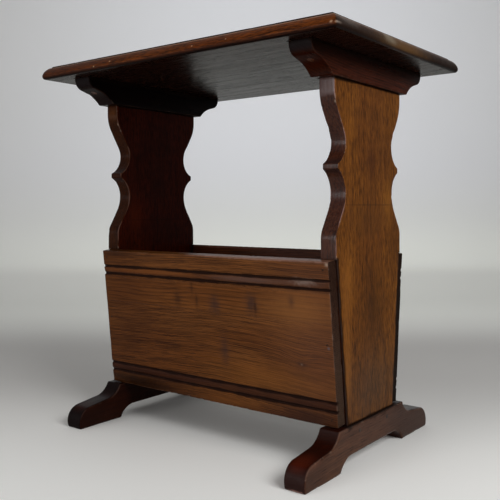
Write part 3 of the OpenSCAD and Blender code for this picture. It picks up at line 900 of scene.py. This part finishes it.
for side, name in ((-1, "front"), (1, "back")):
    def lay(a, b, c):
        y, z = on_board(a, b)
        return Vector((c, side * y, z))

    board, arrises = worked("trough_%s_board" % name, section, board_length, 0.0007, lay, stations, 0.006)
    for up, deep in ((0, 0), (board_width, 0), (board_width, board_thick), (0, board_thick)):
        y, z = on_board(up, deep)
        arrises += line((-board_length / 2, side * y, z), (board_length / 2, side * y, z))
    holes = []
    for x in (-leg_x, leg_x):
        for up in nail_ups:
            y, z = on_board(up, 0)
            inwards = Vector((0, -side * cos(board_lean), sin(board_lean)))
            turn = inwards.to_track_quat("Z", "X").to_matrix().to_4x4()
            holes.append((Matrix.Translation((x, side * y, z)) @ turn, nail_hole, -0.004, nail_sunk))
    drilled(board, holes)
    meets = []
    for x in (-leg_x, leg_x):
        for f in (x - panel_thick / 2, x + panel_thick / 2):
            meets += line((f, side * inner_foot[0], inner_foot[1]), (f, side * inner_head[0], inner_head[1]))
    for up in grooves:
        y, z = on_board(up, groove_depth)
        meets += line((-board_length / 2, side * y, z), (board_length / 2, side * y, z), 0.002)
    hand_worn(board, arrises, meets, 0.0006, 0.0016)
    heart_y, heart_z = on_board(0.38, 0.16)

    def board_spot(along, up, half_long, half_high, tone, share, ragged=0.5, firm=1.0):
        """A patch through the board, turned round on the back one."""
        middle = (-side * along, 0, board_z + up * cos(board_lean))
        return (middle, (half_long, 10, half_high), tone, share, ragged, firm)

    def knot_bend(along, up, half_long, half_high, painted_glow, firm=1.0):
        """Grain that is lifted round a knot."""
        middle = (-side * along, 0, board_z + up * cos(board_lean))
        return (middle, (half_long, 10, half_high), (0, 0, painted_glow), 0.3, firm)

    wood = stained_oak(
        "trough oak " + name, "X", (0.03, side * heart_y, heart_z), radians(0.6) * side, 0.34, 0.05,
        grain={
            **tones((93, 52, 21), (42, 20, 6), (34, 15, 6), (106, 63, 28), (22, 19, 16)),
            "Ring width": 0.0020, "Wander": 0.007, "Fibres": (14, 640, 640), "Fibre": 2.3, "Streak": 0.8,
            "Ring": 0.45, "Rays": 0.15,
        },
        bends=[knot_bend(*spot) for spot in knots],
        patches=[board_spot(*spot) for spot in board_spots],
        # The faces turned in towards the trough are darkened: painted shade.
        facing_tints=[((0, -side, 0), 0, (0.45, 0.3, 0.26, 1))],
        wear=wear_of(0.0018, 0.15, (120, 92, 78), 0.06, 0.95, 0.0034, (22, 7, 3)),
    )
    end_tone = (64, 42, 31) if side < 0 else (22, 14, 11)
    end_wood = stained_oak(
        "trough end oak " + name, "X", (0.03, side * heart_y, heart_z), 0, 0.5, 0.03,
        grain={
            **tones((58, 40, 32), (34, 24, 20), (20, 12, 9), (56, 44, 34), end_tone),
            "Ring width": 0.0020, "Wander": 0.004, "Fibres": (90, 520, 520), "Fibre": 3.2, "Ring": 0.9,
            "Rays": 0.5,
        },
        patches=[
            ((0, 0, 0.06), (10, 10, 0.09), (62, 48, 38) if side < 0 else (26, 20, 17), 0.5, 0.2, 2.0),
            ((0, 0, 0.235), (10, 10, 0.05), (30, 15, 8), 0.6, 0.3, 2.0),
        ],
        wear=wear_of(0.0012, 0.3, (120, 96, 84), 0.05, 0.8, 0.003),
    )
    fixed(board, ["trough_%s_board" % name], "oak_trough", wood, end_wood)
    with_second(board, lambda normal: abs(normal.x) > 0.7)

# The trough's bottom is a thin oak board. Its long edges are housed in grooves of the two
# sides, and its ends stop against the panels.
bottom_thick, bottom_z, housed = 0.009, 0.060, 0.005
bottom_length = 2 * leg_x - panel_thick
outer_y = board_foot_y + (bottom_z + bottom_thick / 2 - board_z) * tan(board_lean)
bottom_half = outer_y - board_thick / cos(board_lean) + housed
plank = [(-bottom_half, 0), (bottom_half, 0), (bottom_half, bottom_thick), (-bottom_half, bottom_thick)]
plank = spaced(eased_corners(plank, 0.0006), 0.006)
bottom, arrises = worked(
    "trough_bottom_board", plank, bottom_length, 0.0004, lambda a, b, c: Vector((c, a, bottom_z + b)),
    [0.002, 0.006] + [0.006 + 0.012 * k for k in range(1, 14)],
)
meets = []
for z in (bottom_z, bottom_z + bottom_thick):
    meets += footprint(0, bottom_length / 2, bottom_half - housed, z)
hand_worn(bottom, arrises, meets, 0.0001, 0.0)
bottom_wood = stained_oak(
    "bottom oak", "X", (0, 0.02, 0.0), radians(0.8), 0.5, 0.2,
    grain={
        **tones((78, 50, 32), (44, 26, 16), (24, 13, 8), (84, 54, 30), (40, 28, 22)), "Ring width": 0.0036,
        "Wander": 0.014,
    },
    wear=wear_of(grime_and_shade=0.9, reach=0.010),
)
fixed(bottom, ["trough_bottom_board"], "oak_trough", bottom_wood)

# Lost head nails hold the sides to the panels, punched a little below the face. Brown wax
# stops each hole, a little darker than the wood around it.


def finished(name, material):
    """Gives a piece that stays as it was constructed its material."""
    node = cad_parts[name]
    node.data.materials.clear()
    node.data.materials.append(material)


def old_steel(name, bright, rust, rough):
    material, t, shader, place = new_material(name)
    spots = ramp(t, speckle(t, place, (700, 700, 700), 3.0, 0.6), 0.42, 0.62)
    t.links.new(blended(t, spots, bright, rust), shader.inputs["Base Color"])
    t.links.new(ramp(t, spots, 0.0, 1.0, 0.9, 0.25), shader.inputs["Metallic"])
    t.links.new(ramp(t, spots, 0.0, 1.0, rough, 0.8), shader.inputs["Roughness"])
    bump = put(t, "Bump", {"Strength": 0.5, "Distance": 0.0001, "Height": spots})
    t.links.new(bump.outputs[0], shader.inputs["Normal"])
    return material


stopper, t, wax, place = new_material("nail stopping")
grit = speckle(t, place, (900, 900, 900), 3.0, 0.6)
brown = blended(t, ramp(t, grit, 0.35, 0.65), hue(62, 36, 20), hue(38, 20, 11))
t.links.new(brown, wax.inputs["Base Color"])
t.links.new(ramp(t, grit, 0.3, 0.7, 0.38, 0.6), wax.inputs["Roughness"])
wax.inputs["Specular IOR Level"].default_value = 0.1
bump = put(t, "Bump", {"Strength": 0.6, "Distance": 0.0002, "Height": grit})
t.links.new(bump.outputs[0], wax.inputs["Normal"])
fill_radius, fill_sunk, fill_dip = 0.0013, 0.00035, 0.00012
fill = [(fill_radius * s, fill_sunk - fill_dip * (1 - s * s)) for s in (0.05, 0.5, 0.8, 1)]
fill += [(0.00146, 0.0005), (0.00146, 0.0009), (0.0013, 0.00115), (0.0001, 0.00118)]
for side, name in ((-1, "front"), (1, "back")):
    for end, x in legs:
        for level, up in zip(("low", "middle", "high"), nail_ups):
            def stop_at(a, b, c):
                y, z = on_board(up + b, c)
                return Vector((x + a, side * y, z))

            stopping = turned("stopping_%s_%s_%s" % (name, end, level), fill, stop_at, 24)
            fixed(stopping, [], "oak_trough", stopper)

nail_steel = old_steel("nail steel", hue(62, 56, 50), hue(38, 24, 18), 0.5)
for name in ("front_board_nails", "back_board_nails"):
    finished(name, nail_steel)

# A cleat of oak crosses under the top over each end panel, with the same ogee ends as the
# feet. The panel's head is tenoned into it, and two screws rise through it into the top.
cleat_thick, cleat_inset, screw_inset, screw_bore = 0.031, 0.024, 0.022, 0.0041
nose_height, nose_radius, nose_slope, nose_flat, nose_hollow = 0.002, 0.0145, 16, 0.011, 0.050
cleat_end = table_width / 2 - cleat_inset
nose = ogee_end(cleat_end, nose_height, nose_radius, nose_slope, nose_flat, nose_hollow, cleat_height, 0)
cleat_outline = [(a, under_top - b) for a, b in both_halves([(cleat_end, 0)] + nose)]


def cleat_ease(p):
    return 0.0003 if p.y > under_top - touch else 0.0013


cleat_outline = spaced(eased_corners(cleat_outline, cleat_ease), 0.003)
screw_y = cleat_end - screw_inset
for side, x in legs:
    right = x > 0
    stations = (0.0015, 0.004, 0.008)
    cleat, arrises = worked("cleat_" + side, cleat_outline, cleat_thick, 0.0010, across(x), stations)
    head_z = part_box("cleat_screws")[0].z
    bores = [(Matrix.Translation((x, y, 0)), screw_bore, 0.40, head_z) for y in (-screw_y, screw_y)]
    drilled(cleat, bores)
    meets = long_edges(x, cleat_thick / 2, cleat_end, under_top)
    meets += long_edges(x, panel_thick / 2, head_y, panel_top)
    hand_worn(cleat, arrises, meets, 0.0004)
    # The left cleat gets darker copies of the right's tones: painted shade.
    light, dark = ((62, 22, 5), (34, 9, 1)) if right else ((30, 12, 6), (14, 5, 2))
    wood = stained_oak(
        "cleat oak " + side, "Y", (x + 0.03, 0.05, under_top + 0.05), radians(-1.5), 0.30, 0.032,
        grain={
            **tones(light, dark, (16, 6, 3), light, (34, 21, 19)), "Ring width": 0.0030, "Wander": 0.010,
            "Fibres": (30, 360, 360), "Fibre": 1.6, "Rays": 0.2,
        },
        # A near-black band along the cleat's upper part, just under the top, is a painted shadow of the top's
        # overhang.
        patches=[((x, 0, under_top), (1, 1, 0.015), (12, 4, 2), 0.85, 0.5, 1.5)],
        # The cleat's ends are tinted grey-purple, partly a painted sheen. Faces turned down and faces turned
        # in towards the table are darkened: painted shade.
        facing_tints=[
            ((0, 1, 0), 1, (1.1, 1.8, 2.9, 1)), ((0, 0, -1), 0, (0.6, 0.5, 0.6, 1)),
            ((-1 if right else 1, 0, 0), 0, (0.35, 0.25, 0.2, 1)),
        ],
        wear=wear_of(0.0014, 0.2, (92, 64, 52), 0.04, 0.95, 0.006),
    )
    fixed(cleat, ["cleat_" + side], "oak_top", wood)

# Short oak plugs close the screw holes in the cleats. They are cut from the same stock,
# glued in with their grain along the cleat and pared flush.
plug_wood = stained_oak(
    "plug oak", "Y", (0.03, 0.04, under_top + 0.04), radians(4), 0.28, 0.12,
    grain={
        **tones((68, 34, 16), (40, 17, 8), (24, 10, 6), (74, 38, 17)), "Ring width": 0.0030,
        "Wander": 0.010, "Fibres": (30, 360, 360), "Fibre": 1.2,
    },
)
finished("screw_plugs", plug_wood)

# The top is a wide oak board with softly rounded corners. A moulding is run round all four
# edges: a round underside, an oval swell and a small square step below the upper face.
corner_radius, least_radius = 0.004, 0.0012
edge_under, edge_draw, edge_step, edge_ledge = 0.005, 0.0105, 0.002, 0.001


def rounded_plate(inset):
    """Plan of the top, drawn in by a distance. The number of points stays the same."""
    half_l, half_w = table_length / 2 - inset, table_width / 2 - inset
    r = max(corner_radius - inset, least_radius)
    corners = (
        (1, 1, (r - half_l, half_w), 98), (-1, 1, (-half_l, r - half_w), 66),
        (-1, -1, (half_l - r, -half_w), 98), (1, -1, (half_l, half_w - r), 66),
    )
    points = []
    for quarter, (sx, sy, after, runs) in enumerate(corners):
        points += arc((sx * (half_l - r), sy * (half_w - r)), r, 90 * quarter, 90 * quarter + 90, 12)
        (a, b), (c, d) = points[-1], after
        points += [(a + (c - a) * k / runs, b + (d - b) * k / runs) for k in range(1, runs)]
    return points


swell_high, swell_wide = top_thick - edge_step - edge_under, edge_draw - edge_ledge
oval = 2 / 1.45
profile = [(edge_under * (1 - sin(radians(a))), edge_under * (1 - cos(radians(a)))) for a in range(0, 91, 15)]
profile += [
    (swell_wide * (1 - cos(radians(a)) ** oval), edge_under + swell_high * sin(radians(a)) ** oval)
    for a in range(9, 91, 9)
]
step_z = top_thick - edge_step
profile += [
    (edge_draw - 0.0003, step_z + 0.00003), (edge_draw, step_z + 0.0004),
    (edge_draw, top_thick - 0.0009), (edge_draw + 0.0003, top_thick - 0.0003),
    (edge_draw + 0.0009, top_thick),
]
rings = [[(a, b, z) for a, b in rounded_plate(inset)] for inset, z in profile]
top = skinned("top_board", rings, lambda a, b, c: Vector((a, b, under_top + c)))
drawn_in = rounded_plate(edge_draw)
arrises = [Vector((a, b, under_top + top_thick)) for a, b in drawn_in]
meets = [Vector((a, b, under_top + step_z)) for a, b in drawn_in]
for x in (-leg_x, leg_x):
    meets += footprint(x, cleat_thick / 2, cleat_end, under_top)
hand_worn(top, arrises, meets, 0.0004, 0.0008)
corner_x, corner_y = table_length / 2, -table_width / 2
top_wood = stained_oak(
    "top oak", "X", (0.06, 0.03, under_top - 0.10), radians(0.4), 0.30, 0.05,
    grain={
        **tones((84, 43, 13), (32, 13, 4), (20, 8, 3), (104, 57, 17), (46, 33, 25)), "Ring width": 0.0020,
        "Wander": 0.008, "Fibres": (110, 700, 700), "Fibre": 3.2, "Streak": 1.0, "Ring": 0.35, "Rays": 0.3,
    },
    patches=[
        # A near-black band on the small step and a darker band round the foot of the edge's round underside
        # are painted shade. A pale line near the top of the swell is a painted highlight.
        ((0, 0, 0.5087), (10, 10, 0.0009), (14, 7, 4), 0.92, 0.0, 3.0),
        ((0, 0, 0.4925), (10, 10, 0.0026), (30, 12, 5), 0.75, 0.15, 2.0),
        ((0, 0, 0.5064), (10, 10, 0.0006), (150, 108, 70), 0.5, 0.1, 2.0),
        ((-0.20, corner_y, 0.500), (0.10, 0.03, 0.03), (44, 20, 8), 0.3, 0.6, 1.2),
        ((corner_x, 0.000, 0.500), (0.02, 0.060, 0.05), (140, 98, 52), 0.42, 1.2, 1.2),
        ((corner_x, 0.115, 0.500), (0.02, 0.06, 0.05), (30, 18, 12), 0.5, 0.6, 1.5),
        ((corner_x, -0.040, 0.501), (0.02, 0.014, 0.006), (150, 134, 108), 0.6, 1.0, 1.5),
        ((corner_x, -0.135, 0.505), (0.012, 0.022, 0.006), (120, 106, 94), 0.55, 1.2, 1.5),
        ((corner_x - 0.0065, corner_y, 0.4972), (0.0016, 0.01, 0.0014), (176, 154, 134), 0.7, 1.2, 1.5),
        ((corner_x - 0.0010, corner_y, 0.4964), (0.0016, 0.01, 0.0014), (176, 154, 134), 0.7, 1.2, 1.5),
        ((-0.1307, corner_y, 0.4962), (0.0013, 0.01, 0.0010), (190, 160, 130), 0.75, 0.8, 1.5),
        ((-0.100, corner_y, 0.4995), (0.0012, 0.01, 0.0009), (190, 160, 130), 0.8, 0.8, 1.5),
        ((0.046, corner_y, 0.4990), (0.0010, 0.01, 0.0008), (186, 156, 130), 0.8, 0.8, 1.5),
        ((0.098, corner_y, 0.5000), (0.0010, 0.01, 0.0008), (180, 150, 126), 0.7, 0.8, 1.5),
    ],
    # The first tint darkens faces turned down, on the round under the edge: painted shade.
    facing_tints=[
        ((0, 0, -1), 0, (0.13, 0.07, 0.08, 1)), ((1, 0, 0), 1, (0.6, 0.63, 0.7, 1)),
        ((0, -1, 0), 1, (0.9, 0.74, 0.62, 1)),
    ],
    wear=wear_of(0.0012, 0.12, (140, 104, 78), 0.05, 0.95, 0.0028),
)
# The flat underside gets much darker tones than the top: painted shade.
shaded_under_wood = stained_oak(
    "underside oak in painted shade", "X", (0.06, 0.03, under_top - 0.10), radians(2.0), 0.25, 0.032,
    grain={
        **tones((32, 14, 8), (16, 6, 3), (8, 3, 2), (36, 16, 9), (20, 10, 7)), "Ring width": 0.0034,
        "Wander": 0.030, "Fibres": (50, 520, 520), "Fibre": 2.4, "Streak": 1.0, "Ring": 0.6,
        "Ripple": 0.010, "Rays": 0.3,
    },
    wear=wear_of(grime_and_shade=0.9, reach=0.004),
)
fixed(top, ["top_board"], "oak_top", top_wood, shaded_under_wood)
with_second(top, lambda normal: normal.z < -0.97)

# Four countersunk wood screws of plain steel hold the top. They rise through the cleats,
# out of sight above their plugs.
screw_steel = old_steel("screw steel", hue(150, 144, 134), hue(70, 46, 32), 0.38)
finished("cleat_screws", screw_steel)

# The table stands on a pale paper sweep that runs up behind it. From below the sheet can
# be seen through, so that the underside is open to view.
sweep_turn, bend_start, bend_radius, columns = radians(37.9), 1.3, 0.9, 13
sweep_way = Vector((-sin(sweep_turn), cos(sweep_turn)))
sweep_side = Vector((sweep_way.y, -sweep_way.x))
floor_start, floor_step, wall_step, column_gap = -4.0, 0.265, 0.3, 0.7
run = [(floor_start + floor_step * k, 0.0) for k in range(21)]
run += [
    (bend_start + bend_radius * sin(radians(a)), bend_radius - bend_radius * cos(radians(a)))
    for a in range(5, 91, 5)
]
run += [(bend_start + bend_radius, bend_radius + wall_step * k) for k in range(1, 9)]
verts, faces = [], []
for far, z in run:
    for k in range(columns):
        spot = sweep_way * far + sweep_side * (k - columns // 2) * column_gap
        verts.append((spot.x, spot.y, z))
for r in range(len(run) - 1):
    low, high = r * columns, (r + 1) * columns
    faces += [(low + k, low + k + 1, high + k + 1, high + k) for k in range(columns - 1)]
sheet = bpy.data.meshes.new("sweep")
sheet.from_pydata(verts, [], faces)
sheet.shade_smooth()
sweep = new_object("sweep", sheet)
if sheet.polygons[0].normal.z < 0:
    sheet.flip_normals()


def seen_rays(t):
    """1 for rays from the camera, or by way of a gloss or something clear, 0 for the light of the room."""
    rays = put(t, "LightPath").outputs
    clear_or_gloss = sums(t, "MAXIMUM", rays["Is Glossy Ray"], rays["Is Transmission Ray"])
    return sums(t, "MAXIMUM", rays["Is Camera Ray"], clear_or_gloss)


paper, t, matt_white, place = new_material("paper")
far = vector_sums(t, "DOT_PRODUCT", place, (sweep_way.x, sweep_way.y, 0), out=1)
aside = vector_sums(t, "DOT_PRODUCT", place, (sweep_side.x, sweep_side.y, 0), out=1)
level = put(t, "SeparateXYZ", {0: place}).outputs[2]
fleck = speckle(t, place, (3, 3, 3), 3.0)
white = blended(t, fleck, hue(250, 250, 247), hue(253, 253, 250))
# The paper is painted greyer on the floor from the table's front to behind it, and less grey further back:
# painted shade.
painted_floor_shade = plus(t, ramp(t, far, -0.25, 0.3, 0.0, 1.0), ramp(t, far, 0.5, 0.85, 0.0, -0.55))
white = blended(t, painted_floor_shade, white, hue(213, 211, 208))
t.links.new(white, matt_white.inputs["Base Color"])
out_of_middle = sums(t, "DIVIDE", sums(t, "SUBTRACT", aside, 0.15), 1.25)
middle = sums(t, "EXPONENT", times(t, times(t, out_of_middle, out_of_middle), -1.0))
# A painted glow, seen only by the camera and in reflections, brightens the paper behind the table, most on
# the bend and the wall and in the middle of the view.
painted_glow = plus(t, ramp(t, far, 0.55, 1.1, 0.0, 0.62), ramp(t, far, 1.60, 1.72, 0.0, 0.52))
painted_glow = plus(t, painted_glow, ramp(t, far, 1.78, 1.98, 0.0, -0.25))
painted_glow = plus(t, painted_glow, ramp(t, level, 0.35, 0.7, 0.0, 0.1))
painted_glow = times(t, painted_glow, times(t, middle, 0.245))
cool = blended(t, ramp(t, level, 0.1, 0.5), (0.95, 1.0, 0.90, 1), (0.95, 1.0, 1.15, 1))
glow = scaled(t, cool, times(t, painted_glow, seen_rays(t)))
t.links.new(glow, matt_white.inputs["Emission Color"])
matt_white.inputs["Emission Strength"].default_value = 1.0
matt_white.inputs["Roughness"].default_value = 0.75
clear = put(t, "BsdfTransparent")
behind = put(t, "NewGeometry").outputs["Backfacing"]
choice = put(t, "MixShader", {0: behind, 1: matt_white.outputs[0], 2: clear.outputs[0]})
t.links.new(choice.outputs[0], t.nodes["Material Output"].inputs["Surface"])
sheet.materials.append(paper)

# Three soft boxes light the table, a bright one from the right and one from the front, and a
# weaker one low on the left. The room around it is a plain grey.


def soft_lamp(name, place, aim, wide, high, glow):
    """A soft box. glow is how bright its face is, where 1 is white."""
    lamp = bpy.data.lights.new(name, "AREA")
    lamp.shape, lamp.size, lamp.size_y = "RECTANGLE", wide, high
    lamp.energy = glow * pi * wide * high
    holder = new_object(name, lamp)
    holder.location = place
    holder.rotation_euler = (Vector(place) - Vector(aim)).to_track_quat("Z", "Y").to_euler()


soft_lamp("right", (1.46, -0.39, 1.15), (0, 0, 0.25), 1.0, 0.7, 8.6)
soft_lamp("front", (-0.4, -2.1, 0.6), (0, 0, 0.25), 1.0, 0.6, 8.8)
soft_lamp("front_left", (-1.15, -1.37, 0.42), (0, 0, 0.3), 0.7, 0.3, 3.0)

world = bpy.data.worlds.new("world")
bpy.context.scene.world = world
world.use_nodes = True
t = world.node_tree
sky = t.nodes["Background"]
t.links.new(blended(t, seen_rays(t), (0.20, 0.20, 0.20, 1), (0.45, 0.45, 0.46, 1)), sky.inputs["Color"])
sky.inputs["Strength"].default_value = 1.0
